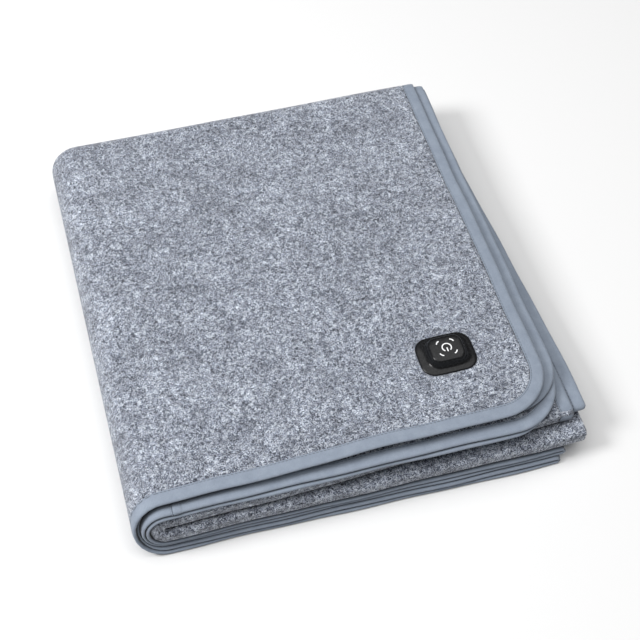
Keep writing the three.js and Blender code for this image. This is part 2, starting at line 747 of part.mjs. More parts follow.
addPart('power_socket', cut(block(SOCKET_WIDTH, SOCKET_DEPTH, socketBottom, SOCKET_HEIGHT, 0, socketY), [
  block(mouthWidth, SOCKET_DEPTH, socketBottom + SOCKET_WALL, mouthHeight, 0, socketY + 1),
]), 0xb9bcc0, 0.35, 0.9);

SCREW_PLACES.forEach(([sx, sy], k) => {
  const x = sx * screwAt;
  const y = sy * screwAt;
  const shankBottom = rearBottom + 0.2;
  const shank = post(SCREW_RADIUS, shankBottom, floorTop - 0.7 - shankBottom, x, y, 10);
  const head = post(SCREW_HEAD_RADIUS, rearBottom + 0.15, SCREW_HEAD, x, y, 12);
  addPart(`cover_screw_${k + 1}`, join([head, shank]), 0xa6a8ab, 0.35, 0.9);
});

// Circuit board and what it carries.
const onBoard = boardTop + SEAT;
const board = trayInside - 2 * BOARD_GAP;
const chipAt = board / 2 - 3.3;
const lightAt = board / 2 - 3.7;
const boardShape = roundedSquare(board, TRAY_RADIUS - TRAY_WALL);
addPart('circuit_board', slab(boardShape, boardBottom, BOARD_THICKNESS), 0x1f5a3a, 0.5);
addPart('switch_body', cut(block(SWITCH, SWITCH, onBoard, SWITCH_HEIGHT), [
  post(PLUNGER_RADIUS + PLUNGER_GAP, switchTop - TRAVEL - 0.1, SWITCH_HEIGHT),
]), 0x303236, 0.5);
addPart('switch_plunger', post(PLUNGER_RADIUS, switchTop + PLUNGER_GAP, PLUNGER_HEIGHT), 0x7b3a2e, 0.5);
addPart('control_chip', block(4, 4, onBoard, 0.9, -chipAt, 0), 0x1a1a1c, 0.4);
addPart('power_switch_chip', block(3.4, 5, onBoard, 0.9, chipAt, 0), 0x1a1a1c, 0.4);
addPart('smoothing_capacitor', block(3.2, 1.8, onBoard, 1.2, 0, chipAt), 0xb59a6a, 0.5);
addPart('heater_terminal', block(5, 2, onBoard, 1.0, 0, -chipAt), 0xd8d6cc, 0.5);
for (let k = 0; k < 4; k += 1) {
  const [sx, sy] = SCREW_PLACES[k];
  addPart(`level_light_${k + 1}`, block(1.6, 1.6, onBoard, 0.7, sx * lightAt, sy * lightAt), 0xf2f2e6, 0.3);
}

// Temperature sensor and thermal cut-out beside the first panel's lead.
const sensorV = ALONG_STARTS[2] + PANEL_MARGIN_V - 12;
const sensorU = PANEL_MARGIN_U + FILM_WIDTH / 2 + LEAD_WIDTH;
addPiece('temperature_sensor', filmStrip(sensorU, sensorU + 3, sensorV, sensorV + 5), 0x3a2f2a, 0.5);
addPiece('thermal_cutout', filmStrip(sensorU + 8, sensorU + 15, sensorV, sensorV + 7), 0xbfc2c6, 0.4, 0.7);

export default throwGroup;
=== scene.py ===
import math

import bpy
import numpy as np
from mathutils import Matrix, Vector


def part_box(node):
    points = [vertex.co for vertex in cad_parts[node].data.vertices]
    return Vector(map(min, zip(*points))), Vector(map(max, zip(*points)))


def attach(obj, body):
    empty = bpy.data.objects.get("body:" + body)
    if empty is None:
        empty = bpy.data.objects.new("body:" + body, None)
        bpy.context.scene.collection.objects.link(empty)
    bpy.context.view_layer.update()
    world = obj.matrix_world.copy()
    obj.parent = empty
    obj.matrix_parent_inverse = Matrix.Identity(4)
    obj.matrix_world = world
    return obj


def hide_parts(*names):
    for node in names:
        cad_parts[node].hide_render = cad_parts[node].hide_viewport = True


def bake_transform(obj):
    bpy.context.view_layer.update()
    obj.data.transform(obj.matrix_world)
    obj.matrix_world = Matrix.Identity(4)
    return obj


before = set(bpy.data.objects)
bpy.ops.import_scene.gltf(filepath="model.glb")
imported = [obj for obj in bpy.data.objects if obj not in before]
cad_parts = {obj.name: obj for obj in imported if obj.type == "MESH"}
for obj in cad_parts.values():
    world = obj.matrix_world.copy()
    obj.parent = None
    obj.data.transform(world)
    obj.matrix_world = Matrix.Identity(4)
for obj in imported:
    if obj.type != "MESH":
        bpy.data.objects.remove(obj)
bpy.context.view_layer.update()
scene = bpy.context.scene
scene.view_settings.view_transform = "Standard"

# ---------------------------------------------------------------- camera
# Stands in front and to the left of the folded throw, looking down on its top ply
# with a moderately long lens.
eye = Vector((-0.166, -0.644, 0.884))
azimuth = math.radians(-15.5)
elevation = math.radians(53.4)
backward = Vector((
    math.sin(azimuth) * math.cos(elevation),
    -math.cos(azimuth) * math.cos(elevation),
    math.sin(elevation),
))
camera_data = bpy.data.cameras.new("camera")
camera_data.lens = 73.3
camera_data.sensor_width = 36.0
camera_data.clip_start = 0.05
camera = bpy.data.objects.new("camera", camera_data)
scene.collection.objects.link(camera)
turned = backward.to_track_quat("Z", "Y").to_matrix().to_4x4()
camera.matrix_world = Matrix.Translation(eye) @ turned
scene.camera = camera

# ---------------------------------------------------------------- floor and light
# A plain pale floor under soft studio light: a very broad light overhead, a smaller and
# brighter one from the left, and a faint even surround.
FLOOR_HALF = 3.0
floor_mesh = bpy.data.meshes.new("floor")
floor_mesh.from_pydata(
    [(x * FLOOR_HALF, y * FLOOR_HALF, 0) for x, y in ((-1, -1), (1, -1), (1, 1), (-1, 1))],
    [],
    [(0, 1, 2, 3)],
)
floor = bpy.data.objects.new("floor", floor_mesh)
scene.collection.objects.link(floor)
floor_material = bpy.data.materials.new("pale_floor")
floor_material.use_nodes = True
floor_shader = floor_material.node_tree.nodes["Principled BSDF"]
floor_shader.inputs["Base Color"].default_value = (0.74, 0.74, 0.74, 1)
floor_shader.inputs["Roughness"].default_value = 0.9
floor_shader.inputs["Specular IOR Level"].default_value = 0.1
floor_mesh.materials.append(floor_material)


def softbox(name, place, size, power):
    """A square area light at place, aimed at the middle of the throw."""
    data = bpy.data.lights.new(name, "AREA")
    data.shape = "SQUARE"
    data.size = size
    data.energy = power
    lamp = bpy.data.objects.new(name, data)
    lamp.location = place
    lamp.rotation_euler = (Vector((0, 0, 0.03)) - Vector(place)).to_track_quat("-Z", "Y").to_euler()
    scene.collection.objects.link(lamp)


softbox("key_light", (-1.5, 0.1, 1.5), 0.7, 35)
softbox("top_light", (0.1, 0.0, 2.3), 3.2, 66)
world = bpy.data.worlds.new("studio")
world.use_nodes = True
world.node_tree.nodes["Background"].inputs["Color"].default_value = (1, 1, 1, 1)
world.node_tree.nodes["Background"].inputs["Strength"].default_value = 0.12
scene.world = world

# ---------------------------------------------------------------- felt faces
# The throw is two faces of needled wool-look felt, cut with rounded corners and laid
# back to back round the heating films. The whole cloth is folded four by four, so
# each face is one sheet that runs through all sixteen plies.
MM = 0.001
stack_low, stack_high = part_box("binding_tape")
STACK_WIDTH = stack_high.x - stack_low.x
STACK_DEPTH = stack_high.y - stack_low.y
FELT = 1.0 * MM
FILM = 0.2 * MM
LAYER_GAP = 0.3 * MM
PLY_GAP = 0.3 * MM
PLY = 2 * FELT + 2 * LAYER_GAP + FILM
PITCH = PLY + PLY_GAP
PLIES = 16
TAPE = 0.5 * MM
TAPE_WIDTH = 11.5 * MM
TAPE_GAP = 0.1 * MM
EDGE = TAPE + 0.4 * MM
CORNER_RADIUS = 45 * MM
INNER = CORNER_RADIUS - EDGE
PLY_AT = np.array([[1, 8, 5, 4], [16, 9, 12, 13], [15, 10, 11, 14], [2, 7, 6, 3]])
RIGHT_SETBACKS = MM * np.array([
    [26, 26, 17, 13, 12, 16, 17, 22],
    [28.5, 25, 15, 6, 6.5, 16, 22, 23],
    [28.5, 25, 15, 6, 6.5, 16, 22, 23],
    [15, 17, 15, 2, 0, 14, 15, 18],
])
FRONT_SETBACKS = MM * np.array([
    [22.5, 20, 5, 0, 1, 6, 24, 28],
    [25, 17, 13, 11.5, 13.7, 14.7, 20.7, 27.7],
    [25, 17, 13, 11.5, 13.7, 14.7, 20.7, 27.7],
    [11, 12, 8, 4.5, 3.5, 8, 14, 13],
])
LEFT_TURN = stack_low.x + 7.5 * PITCH + PLY / 2
BACK_TURN = stack_high.y - 3.5 * PITCH - PLY / 2
REACH = STACK_WIDTH / 2 - EDGE - LEFT_TURN
RUN = STACK_DEPTH / 2 - EDGE + BACK_TURN
ACROSS = np.array([REACH, 38 * MM, REACH, 5 * MM, REACH, 38 * MM, REACH])
ALONG = np.array([RUN, 20 * MM, RUN, 10 * MM, RUN, 20 * MM, RUN])
ACROSS_STARTS = np.concatenate([[0], np.cumsum(ACROSS)])
ALONG_STARTS = np.concatenate([[0], np.cumsum(ALONG)])
LIFT = stack_high.z - (PLIES - 1) * PITCH - PLY
SLOPE_START_U = INNER + (REACH - INNER) / 3
SLOPE_START_V = INNER + (RUN - INNER) / 3
PINCH = 1.5 * MM
cap_low, cap_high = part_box("button_cap")
BUTTON = (cap_low + cap_high) / 2


def ease(t):
    """Rises smoothly from 0 to 1 as t does, with level ends: 3t^2 - 2t^3."""
    k = np.clip(t, 0, 1)
    return k * k * (3 - 2 * k)


def located(starts, distance):
    """Which straight or turn a flat distance falls in, and what share of it is past."""
    index = np.clip(np.searchsorted(starts, distance, side="left") - 1, 0, 6)
    return index, (distance - starts[index]) / (starts[index + 1] - starts[index])


def column_line(column, index, part):
    """A column's folded line in the YZ plane: straights at each ply's height, joined by
    half circles whose centres lie on the back or front turning line. The outer folds at
    the front are pinched in at mid height by a bell curve, where the pile presses them."""
    row = index // 2
    first = PLY / 2 + (PLIES - PLY_AT[column, row]) * PITCH
    second = PLY / 2 + (PLIES - PLY_AT[column, np.minimum(row + 1, 3)]) * PITCH
    straight = index % 2 == 0
    from_back = np.where(row % 2 == 0, 1 - part, part)
    angle = part * math.pi
    radius = (first - second) / 2
    front = index == 3
    centre = np.where(front, BACK_TURN - RUN, BACK_TURN)
    side = np.where(front, -1, 1)
    pinch = np.where(front & (column < 2), PINCH, 0) * np.exp(-((part - 0.5) / 0.13) ** 2)
    turn_y = centre + side * np.abs(radius) * np.sin(angle) + pinch
    y = np.where(straight, BACK_TURN - from_back * RUN, turn_y)
    z = np.where(straight, first, (first + second) / 2 + radius * np.cos(angle))
    return y, z


def settled(point, u, v, from_left, from_back):
    """Eases the ideal fold into slack cloth: low swells that grow with height, a fuller
    back and left, and slow waves along the free edges. The controller's place stays."""
    x, y, z = point
    reach = np.hypot(x - BUTTON.x, y - BUTTON.y)
    free = ease((reach - 0.035) / 0.07)
    swell = (
        np.sin(23 * x + 11 * y + 0.6) * np.cos(17 * y - 7 * x + 0.4)
        + 0.6 * np.sin(41 * x - 29 * y + 1.9)
    )
    share = z / stack_high.z
    towards_left, towards_back = 1 - from_left, 1 - from_back
    z = z * (1 + 0.012 * swell * free * share + 0.03 * towards_back ** 4)
    x = x - 3 * MM * towards_left ** 2 * towards_back
    y = y + (2 + 3 * towards_left) * MM * towards_back ** 2
    edge_wave = np.sin(39 * v + 0.7) + 0.6 * np.sin(83 * v + 2.1)
    x = x + 0.3 * MM * edge_wave * from_left ** 3
    front_wave = np.sin(43 * u + 1.3) + 0.6 * np.sin(91 * u + 0.2)
    y = y + 0.35 * MM * front_wave * from_back ** 3
    return x, y, z


def folded(u, v):
    """Middle surface of the folded throw at flat distances u across and v along it. Each
    column follows its own line; neighbours join by half circles at the left and right."""
    iu, pu = located(ACROSS_STARTS, u)
    iv, pv = located(ALONG_STARTS, v)
    column = iu // 2
    y1, z1 = column_line(column, iv, pv)
    y2, z2 = column_line(np.minimum(column + 1, 3), iv, pv)
    blend = ease(pv)
    right = STACK_WIDTH / 2 - EDGE - (
        RIGHT_SETBACKS[column, iv] * (1 - blend) + RIGHT_SETBACKS[column, iv + 1] * blend
    )
    straight = iu % 2 == 0
    from_left = np.where(straight, np.where(column % 2 == 0, 1 - pu, pu), np.where(iu == 3, 1, 0))
    angle = pu * math.pi
    half_y, half_z = (y1 - y2) / 2, (z1 - z2) / 2
    swing = np.hypot(half_y, half_z) * np.sin(angle)
    x = np.where(
        straight,
        LEFT_TURN + from_left * (right - LEFT_TURN),
        np.where(iu == 3, right + swing, LEFT_TURN - swing),
    )
    y = np.where(straight, y1, (y1 + y2) / 2 + half_y * np.cos(angle))
    z = np.where(straight, z1, (z1 + z2) / 2 + half_z * np.cos(angle))
    row = iv // 2
    is_fold = (row == 1) | (row == 2)
    turn = ease(pu)
    set_back = FRONT_SETBACKS[row, iu] * (1 - turn) + FRONT_SETBACKS[row, iu + 1] * turn
    target = set_back - STACK_DEPTH / 2 + np.where(is_fold, 0, EDGE)
    from_back = np.where(iv % 2 == 0, np.where(row % 2 == 0, 1 - pv, pv), np.where(iv == 3, 1, 0))
    y = y + from_back * (target - (BACK_TURN - RUN))
    top = (iu == 0) & (iv == 0)
    slope_u = ease((REACH - u) / (REACH - SLOPE_START_U))
    slope_v = ease((RUN - v) / (RUN - SLOPE_START_V))
    z = z + np.where(top, LIFT * slope_u * slope_v, 0)
    return np.stack(settled((x, y, z), u, v, from_left, from_back), -1)


def off_cloth(u, v, height):
    """A point on the folded throw held off its middle surface along the normal, which is
    the cross product of two short steps along the cloth."""
    u, v, height = np.broadcast_arrays(np.asarray(u, float), v, height)
    step = 0.02 * MM
    step_u = np.where(u > step, -step, step)
    step_v = np.where(v > step, -step, step)
    point = folded(u, v)
    along_u = (folded(u + step_u, v) - point) * np.sign(step_u)[..., None]
    along_v = (folded(u, v + step_v) - point) * np.sign(step_v)[..., None]
    normal = np.cross(along_v, along_u)
    normal /= np.linalg.norm(normal, axis=-1, keepdims=True)
    return point + normal * height[..., None]


def stations(starts, spacing, wide_steps, narrow_steps, extra=()):
    """Flat distances at which the cloth is sampled: even steps on straights, finer ones
    round the turns, and any extra distances that a cut-out needs."""
    cuts = [INNER]
    for index in range(7):
        begin = INNER if index == 0 else starts[index]
        end = starts[7] - INNER if index == 6 else starts[index + 1]
        steps = int(round((end - begin) / spacing))
        if index % 2 == 1:
            steps = narrow_steps if index == 3 else wide_steps
        cuts.extend(begin + (end - begin) * np.arange(1, steps + 1) / steps)
    cuts = np.array(cuts)
    for value in extra:
        near = np.argmin(np.abs(cuts - value))
        cuts[near] = value
    return cuts


def new_piece(name, points, faces, uv=None):
    """Makes a mesh object from arrays of points and four-cornered faces, where a corner
    that repeats the one before it is left out, with an optional flat-cloth UV."""
    mesh = bpy.data.meshes.new(name)
    keep = faces != np.roll(faces, 1, axis=1)
    corners = faces[keep].astype(np.int32)
    counts = keep.sum(1)
    mesh.vertices.add(len(points))
    mesh.vertices.foreach_set("co", points.astype(np.float32).ravel())
    mesh.loops.add(len(corners))
    mesh.loops.foreach_set("vertex_index", corners)
    mesh.polygons.add(len(faces))
    mesh.polygons.foreach_set("loop_start", (np.cumsum(counts) - counts).astype(np.int32))
    mesh.update(calc_edges=True)
    if uv is not None:
        layer = mesh.uv_layers.new(name="cloth")
        placed = uv[keep] if uv.ndim == 3 else uv[corners]
        layer.data.foreach_set("uv", placed.astype(np.float32).ravel())
    mesh.polygons.foreach_set("use_smooth", np.full(len(mesh.polygons), True))
    piece = bpy.data.objects.new(name, mesh)
    scene.collection.objects.link(piece)
    return piece


CUT_HALF = 12.4 * MM
top_right = STACK_WIDTH / 2 - RIGHT_SETBACKS[0, 0] - EDGE
top_front = FRONT_SETBACKS[0, 0] - STACK_DEPTH / 2 + EDGE
BUTTON_U = (top_right - BUTTON.x) * REACH / (top_right - LEFT_TURN)
BUTTON_V = (BUTTON.y - top_front) * RUN / (BACK_TURN - top_front)
STATIONS_U = stations(ACROSS_STARTS, 12 * MM, 16, 8, (BUTTON_U - CUT_HALF, BUTTON_U + CUT_HALF))
STATIONS_V = stations(ALONG_STARTS, 12 * MM, 12, 10, (BUTTON_V - CUT_HALF, BUTTON_V + CUT_HALF))
CORNER_STEPS = 14


def rim_stations():
    """The throw's outline as inner corner points and outward directions, going round the
    four sides and corners, with each point's row and column in the sampled grid."""
    nu, nv = len(STATIONS_U), len(STATIONS_V)
    ends = [
        (np.arange(nu - 1), 0),
        (nu - 1, np.arange(nv - 1)),
        (np.arange(nu - 1, 0, -1), nv - 1),
        (0, np.arange(nv - 1, 0, -1)),
    ]
    corners = [(nu - 1, 0), (nu - 1, nv - 1), (0, nv - 1), (0, 0)]
    turn = np.arange(CORNER_STEPS) / CORNER_STEPS * math.pi / 2
    pieces = []
    for number, ((i, j), (corner_i, corner_j)) in enumerate(zip(ends, corners)):
        facing = (number - 1) * math.pi / 2
        side_steps = max(np.size(i), np.size(j))
        side_i, side_j = np.broadcast_to(i, side_steps), np.broadcast_to(j, side_steps)
        i = np.concatenate([side_i, np.full(CORNER_STEPS, corner_i)])
        j = np.concatenate([side_j, np.full(CORNER_STEPS, corner_j)])
        angle = facing + np.concatenate([np.zeros(side_steps), turn])
        outward = (np.cos(angle), np.sin(angle))
        pieces.append(np.stack([STATIONS_U[i], STATIONS_V[j], *outward, i, j], 1))
    return np.concatenate(pieces)


RIM = rim_stations()
RIM_GRID = (RIM[:, 5] * len(STATIONS_U) + RIM[:, 4]).astype(int)


def rim_flat(inset):
    """Flat distances of the outline moved in by an inset."""
    reach = INNER - inset
    return RIM[:, 0] + RIM[:, 2] * reach, RIM[:, 1] + RIM[:, 3] * reach


def felt_sheet(name, side):
    """One felt face: a grid on its outer and inner surfaces, rings that carry each out to
    the rounded edge, pressed down under the tape, and walls round the controller's hole."""
    inner = side * (FILM / 2 + LAYER_GAP)
    outer = side * PLY / 2
    pressed = side * (PLY / 2 - TAPE - TAPE_GAP)
    grip = TAPE_WIDTH - EDGE
    rings = [
        (grip + 3.2 * MM, outer),
        (grip + 1.6 * MM, outer - side * 0.06 * MM),
        (grip + 0.8 * MM, outer - side * 0.25 * MM),
        (grip + 0.25 * MM, pressed),
        (4 * MM, pressed),
        (0.0, pressed),
        (0.0, inner),
        (4 * MM, inner),
        (grip + 3.2 * MM, inner),
    ]
    nu, nv = len(STATIONS_U), len(STATIONS_V)
    grid_u, grid_v = np.meshgrid(STATIONS_U, STATIONS_V)
    sheets = [off_cloth(grid_u, grid_v, height).reshape(-1, 3) for height in (outer, inner)]
    for inset, height in rings:
        u, v = rim_flat(inset)
        sheets.append(off_cloth(u, v, height))
    points = np.concatenate(sheets)
    i, j = np.meshgrid(np.arange(nu - 1), np.arange(nv - 1))
    middle_u = (STATIONS_U[i] + STATIONS_U[i + 1]) / 2
    middle_v = (STATIONS_V[j] + STATIONS_V[j + 1]) / 2
    in_hole = (np.abs(middle_u - BUTTON_U) < CUT_HALF) & (np.abs(middle_v - BUTTON_V) < CUT_HALF)
    a = (j * nu + i)[~in_hole]
    layer = nu * nv
    faces = [
        np.stack([a, a + nu, a + nu + 1, a + 1], 1),
        np.stack([a + 1, a + nu + 1, a + nu, a], 1) + layer,
    ]
    first = 2 * layer
    count = len(RIM)
    rim_rings = [first + r * count + np.arange(count) for r in range(len(rings))]
    ring_ids = [RIM_GRID, *rim_rings, RIM_GRID + layer]
    for low, high in zip(ring_ids, ring_ids[1:]):
        faces.append(np.stack([low, np.roll(low, -1), np.roll(high, -1), high], 1))
    holes = np.argwhere(in_hole)
    j0, i0 = holes.min(0)
    j1, i1 = holes.max(0) + 1
    loop = np.concatenate([
        j0 * nu + np.arange(i0, i1),
        np.arange(j0, j1) * nu + i1,
        j1 * nu + np.arange(i1, i0, -1),
        np.arange(j1, j0, -1) * nu + i0,
    ])
    following = np.roll(loop, -1)
    faces.append(np.stack([loop, loop + layer, following + layer, following], 1))
    quads = np.concatenate(faces)
    if side < 0:
        quads = quads[:, ::-1]
    return new_piece(name, points, quads)


def add_noise(tree, coordinates, scale, detail, roughness=0.5, distortion=0.0):
    """A noise texture on the given coordinates, of scale cells to the metre."""
    noise = tree.nodes.new("ShaderNodeTexNoise")
    noise.inputs["Scale"].default_value = scale
    noise.inputs["Detail"].default_value = detail
    noise.inputs["Roughness"].default_value = roughness
    noise.inputs["Distortion"].default_value = distortion
    tree.links.new(coordinates, noise.inputs["Vector"])
    return noise.outputs["Fac"]


def mixed(tree, kind, factor, first, second):
    """A colour mix of two sockets or plain colours by a socket or plain factor."""
    mix = tree.nodes.new("ShaderNodeMix")
    mix.data_type = "RGBA"
    mix.blend_type = kind
    for index, value in ((0, factor), (6, first), (7, second)):
        if hasattr(value, "is_output"):
            tree.links.new(value, mix.inputs[index])
        elif index == 0:
            mix.inputs[index].default_value = value
        else:
            mix.inputs[index].default_value = (*value, 1)
    return mix.outputs[2]


def ramped(tree, socket, *stops):
    """A colour ramp through stops of (place, grey or colour)."""
    ramp = tree.nodes.new("ShaderNodeValToRGB")
    tree.links.new(socket, ramp.inputs["Fac"])
    elements = ramp.color_ramp.elements
    while len(elements) < len(stops):
        elements.new(0.5)
    for element, (place, colour) in zip(elements, stops):
        element.position = place
        grey = (colour, colour, colour, 1)
        element.color = (*colour, 1) if hasattr(colour, "__len__") else grey
    return ramp.outputs["Color"]


def painted_crevice_shade(tree, colour, reach, darkest_painted_shade):
    """Painted crevice shade: the colour, multiplied darker by an ambient occlusion node where
    other cloth lies close by within reach, as shade between plies: full colour in the
    open, a share of it when shut in."""
    shut = tree.nodes.new("ShaderNodeAmbientOcclusion")
    shut.samples = 8
    shut.inputs["Distance"].default_value = reach
    shade = ramped(tree, shut.outputs["AO"], (0.25, darkest_painted_shade), (0.85, 1.0))
    return mixed(tree, "MULTIPLY", 1.0, colour, shade)


def felt_finish():
    """Heather felt: pale and dark fibres matted together in curls a millimetre or two
    across, with soft clouds of shade, and a low fuzzy nap."""
    material = bpy.data.materials.new("heather_felt")
    material.use_nodes = True
    tree = material.node_tree
    shader = tree.nodes["Principled BSDF"]
    place = tree.nodes.new("ShaderNodeTexCoord").outputs["Object"]
    curls = add_noise(tree, place, 560, 3, 0.62, 1.6)
    fibres = add_noise(tree, place, 1150, 2, 0.6, 2.2)
    clumps = add_noise(tree, place, 170, 3, 0.55, 0.8)
    clouds = add_noise(tree, place, 34, 3, 0.55)
    dark_fibre = (0.062, 0.072, 0.094)
    mid_fibre = (0.365, 0.41, 0.52)
    pale_fibre = (0.86, 0.92, 1.0)
    base = ramped(tree, curls, (0.40, dark_fibre), (0.5, mid_fibre), (0.58, pale_fibre))
    # Fibre flecks, part fibre tone and part painted shade: where the fibre noise is low, which the
    # fine bump sinks into hollows, the colour is painted dark as shade, half shaded on the slopes,
    # and full colour on the high fibres.
    painted_hollow_shade = (0.16, 0.17, 0.18)
    painted_half_shade = (0.72, 0.72, 0.73)
    speck = ramped(tree, fibres, (0.38, painted_hollow_shade), (0.5, painted_half_shade), (0.60, 1.0))
    shade = ramped(tree, clumps, (0.38, (0.55, 0.55, 0.56)), (0.60, (1.0, 1.0, 1.0)))
    cloud = ramped(tree, clouds, (0.36, (0.74, 0.74, 0.75)), (0.62, (1.0, 1.0, 1.0)))
    colour = mixed(tree, "MULTIPLY", 0.85, base, speck)
    colour = mixed(tree, "MULTIPLY", 0.85, colour, shade)
    colour = mixed(tree, "MULTIPLY", 0.9, colour, cloud)
    # Painted shade: the felt colour is darkened in crevices between plies.
    colour = painted_crevice_shade(tree, colour, 5 * MM, 0.35)
    tree.links.new(colour, shader.inputs["Base Color"])
    shader.inputs["Roughness"].default_value = 0.95
    shader.inputs["Specular IOR Level"].default_value = 0.15
    shader.inputs["Sheen Weight"].default_value = 0.25
    shader.inputs["Sheen Roughness"].default_value = 0.6
    fine = tree.nodes.new("ShaderNodeBump")
    fine.inputs["Strength"].default_value = 0.55
    fine.inputs["Distance"].default_value = 0.35 * MM
    tree.links.new(fibres, fine.inputs["Height"])
    coarse = tree.nodes.new("ShaderNodeBump")
    coarse.inputs["Strength"].default_value = 0.6
    coarse.inputs["Distance"].default_value = 0.9 * MM
    tree.links.new(curls, coarse.inputs["Height"])
    tree.links.new(fine.outputs["Normal"], coarse.inputs["Normal"])
    tree.links.new(coarse.outputs["Normal"], shader.inputs["Normal"])
    return material


felt_material = felt_finish()
felt_pieces = (("outer_face", 1, "face_felt"), ("back_face", -1, "back_felt"))
for felt_name, felt_side, felt_node in felt_pieces:
    felt = felt_sheet(felt_name, felt_side)
    felt.data.materials.append(felt_material)
    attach(felt, "throw")
    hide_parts(felt_node)

# ---------------------------------------------------------------- binding tape
# A woven polyester tape, folded over the raw edges of both felts and sewn through
# close to its inner edge. It is one strip that runs right round the outline.
TAPE_PROFILE = MM * np.array([
    (10.60, 1.22), (10.62, 1.36), (10.45, 1.44), (9.90, 1.40), (9.45, 1.31), (9.00, 1.37),
    (8.00, 1.45), (5.50, 1.50), (3.00, 1.49), (1.40, 1.42), (0.40, 1.22), (-0.25, 0.94),
    (-0.68, 0.52), (-0.90, 0.0), (-0.68, -0.52), (-0.25, -0.94), (0.40, -1.22),
    (1.40, -1.42), (3.00, -1.49), (5.50, -1.50), (8.00, -1.45), (9.00, -1.37),
    (9.45, -1.31), (9.90, -1.40), (10.45, -1.44), (10.62, -1.36), (10.60, -1.22),
    (9.80, -0.92), (5.00, -0.90), (0.45, -0.86), (-0.18, -0.50), (-0.40, 0.0),
    (-0.18, 0.50), (0.45, 0.86), (5.00, 0.90), (9.80, 0.92),
])
STITCH_INSET = 9.45 * MM


def rim_lengths():
    """Distance travelled round the outline at each of its points, and all the way round."""
    u, v = rim_flat(0.0)
    steps = np.hypot(np.roll(u, -1) - u, np.roll(v, -1) - v)
    return np.concatenate([[0], np.cumsum(steps)])


RIM_LENGTHS = rim_lengths()
PERIMETER = RIM_LENGTHS[-1]


def rim_at(length):
    """Inner corner point and outward direction at distances travelled round the outline."""
    loop = np.concatenate([RIM[:, :4], RIM[:1, :4]])
    once = np.mod(length, PERIMETER)
    row = np.stack([np.interp(once, RIM_LENGTHS, loop[:, k]) for k in range(4)], -1)
    row[..., 2:] /= np.linalg.norm(row[..., 2:], axis=-1, keepdims=True)
    return row


def on_rim(length, inset, height):
    """Points at distances round the outline, moved in by an inset and off the middle
    surface by a height."""
    row = rim_at(length)
    u = row[..., 0] + row[..., 2] * (INNER - inset)
    v = row[..., 1] + row[..., 3] * (INNER - inset)
    return off_cloth(u, v, height)


def grid_faces(rows, columns, close_rows=False, close_columns=False):
    """Four-cornered faces over a grid of points, closed round either way if asked."""
    i, j = np.meshgrid(np.arange(columns if close_columns else columns - 1),
                       np.arange(rows if close_rows else rows - 1))
    i, j = i.ravel(), j.ravel()
    i2, j2 = (i + 1) % columns, (j + 1) % rows
    return np.stack([j * columns + i, j * columns + i2, j2 * columns + i2, j2 * columns + i], 1)


def tape_piece():
    """The folded tape's profile carried round the outline, with faint puckers where it is
    eased round the corners. Its UV runs along the tape and across it, in metres."""
    step = 3.4 * MM
    count = int(PERIMETER / step)
    lengths = np.arange(count) / count * PERIMETER
    inset, height = TAPE_PROFILE.T
    pucker = 1 + 0.035 * np.sin(lengths / (1.9 * MM)) * np.sin(lengths / (7.3 * MM))
    points = on_rim(lengths[:, None], inset[None], height[None] * pucker[:, None])
    rows, columns = points.shape[:2]
    faces = grid_faces(rows, columns, True, True)
    across = np.concatenate([[0], np.cumsum(np.linalg.norm(np.diff(TAPE_PROFILE, axis=0), axis=1))])
    row, column = faces // columns, faces % columns
    along = lengths[row]
    along = np.where(row < row[:, :1], along + PERIMETER, along)
    place = across[column]
    uv = np.stack([along, place], -1)
    return new_piece("edge_binding", points.reshape(-1, 3), faces[:, ::-1], uv[:, ::-1])


def tape_finish():
    """Plain-woven polyester: warp and weft ribs a third of a millimetre apart, slightly
    uneven in shade, with a dull silky sheen."""
    material = bpy.data.materials.new("woven_tape")
    material.use_nodes = True
    tree = material.node_tree
    shader = tree.nodes["Principled BSDF"]
    flat = tree.nodes.new("ShaderNodeUVMap")
    flat.uv_map = "cloth"
    flat = flat.outputs["UV"]
    ribs = []
    for direction, spacing in (("X", 0.62 * MM), ("Y", 0.55 * MM)):
        wave = tree.nodes.new("ShaderNodeTexWave")
        wave.wave_type = "BANDS"
        wave.bands_direction = direction
        wave.inputs["Scale"].default_value = 0.314 / spacing
        wave.inputs["Distortion"].default_value = 0.6
        wave.inputs["Detail"].default_value = 1.0
        tree.links.new(flat, wave.inputs["Vector"])
        ribs.append(wave.outputs["Fac"])
    weave = mixed(tree, "MULTIPLY", 1.0, ribs[0], ribs[1])
    shade = add_noise(tree, flat, 90, 3, 0.6)
    thread = add_noise(tree, flat, 900, 2, 0.6)
    base = ramped(tree, shade, (0.3, (0.225, 0.265, 0.330)), (0.7, (0.275, 0.320, 0.390)))
    dark = ramped(tree, weave, (0.0, 0.80), (0.6, 1.0))
    slub = ramped(tree, thread, (0.3, 0.86), (0.6, 1.0))
    colour = mixed(tree, "MULTIPLY", 0.8, base, dark)
    colour = mixed(tree, "MULTIPLY", 0.7, colour, slub)
    # Painted shade: the tape colour is darkened in crevices between plies.
    colour = painted_crevice_shade(tree, colour, 5 * MM, 0.22)
    tree.links.new(colour, shader.inputs["Base Color"])
    shader.inputs["Roughness"].default_value = 0.72
    shader.inputs["Specular IOR Level"].default_value = 0.3
    shader.inputs["Sheen Weight"].default_value = 0.15
    shader.inputs["Sheen Roughness"].default_value = 0.5
    bump = tree.nodes.new("ShaderNodeBump")
    bump.inputs["Strength"].default_value = 0.35
    bump.inputs["Distance"].default_value = 0.12 * MM
    tree.links.new(weave, bump.inputs["Height"])
    tree.links.new(bump.outputs["Normal"], shader.inputs["Normal"])
    return material


tape_material = tape_finish()
edge_binding = tape_piece()
edge_binding.data.materials.append(tape_material)
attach(edge_binding, "throw")
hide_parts("binding_tape")

# The tape's end is turned under and lapped over its start on the second ply, near the
# left fold. LAP_AT is how far round the outline it begins, and it runs on for 9 mm.
LAP_AT = 3221.5 * MM
LAP_RISE = 0.55 * MM


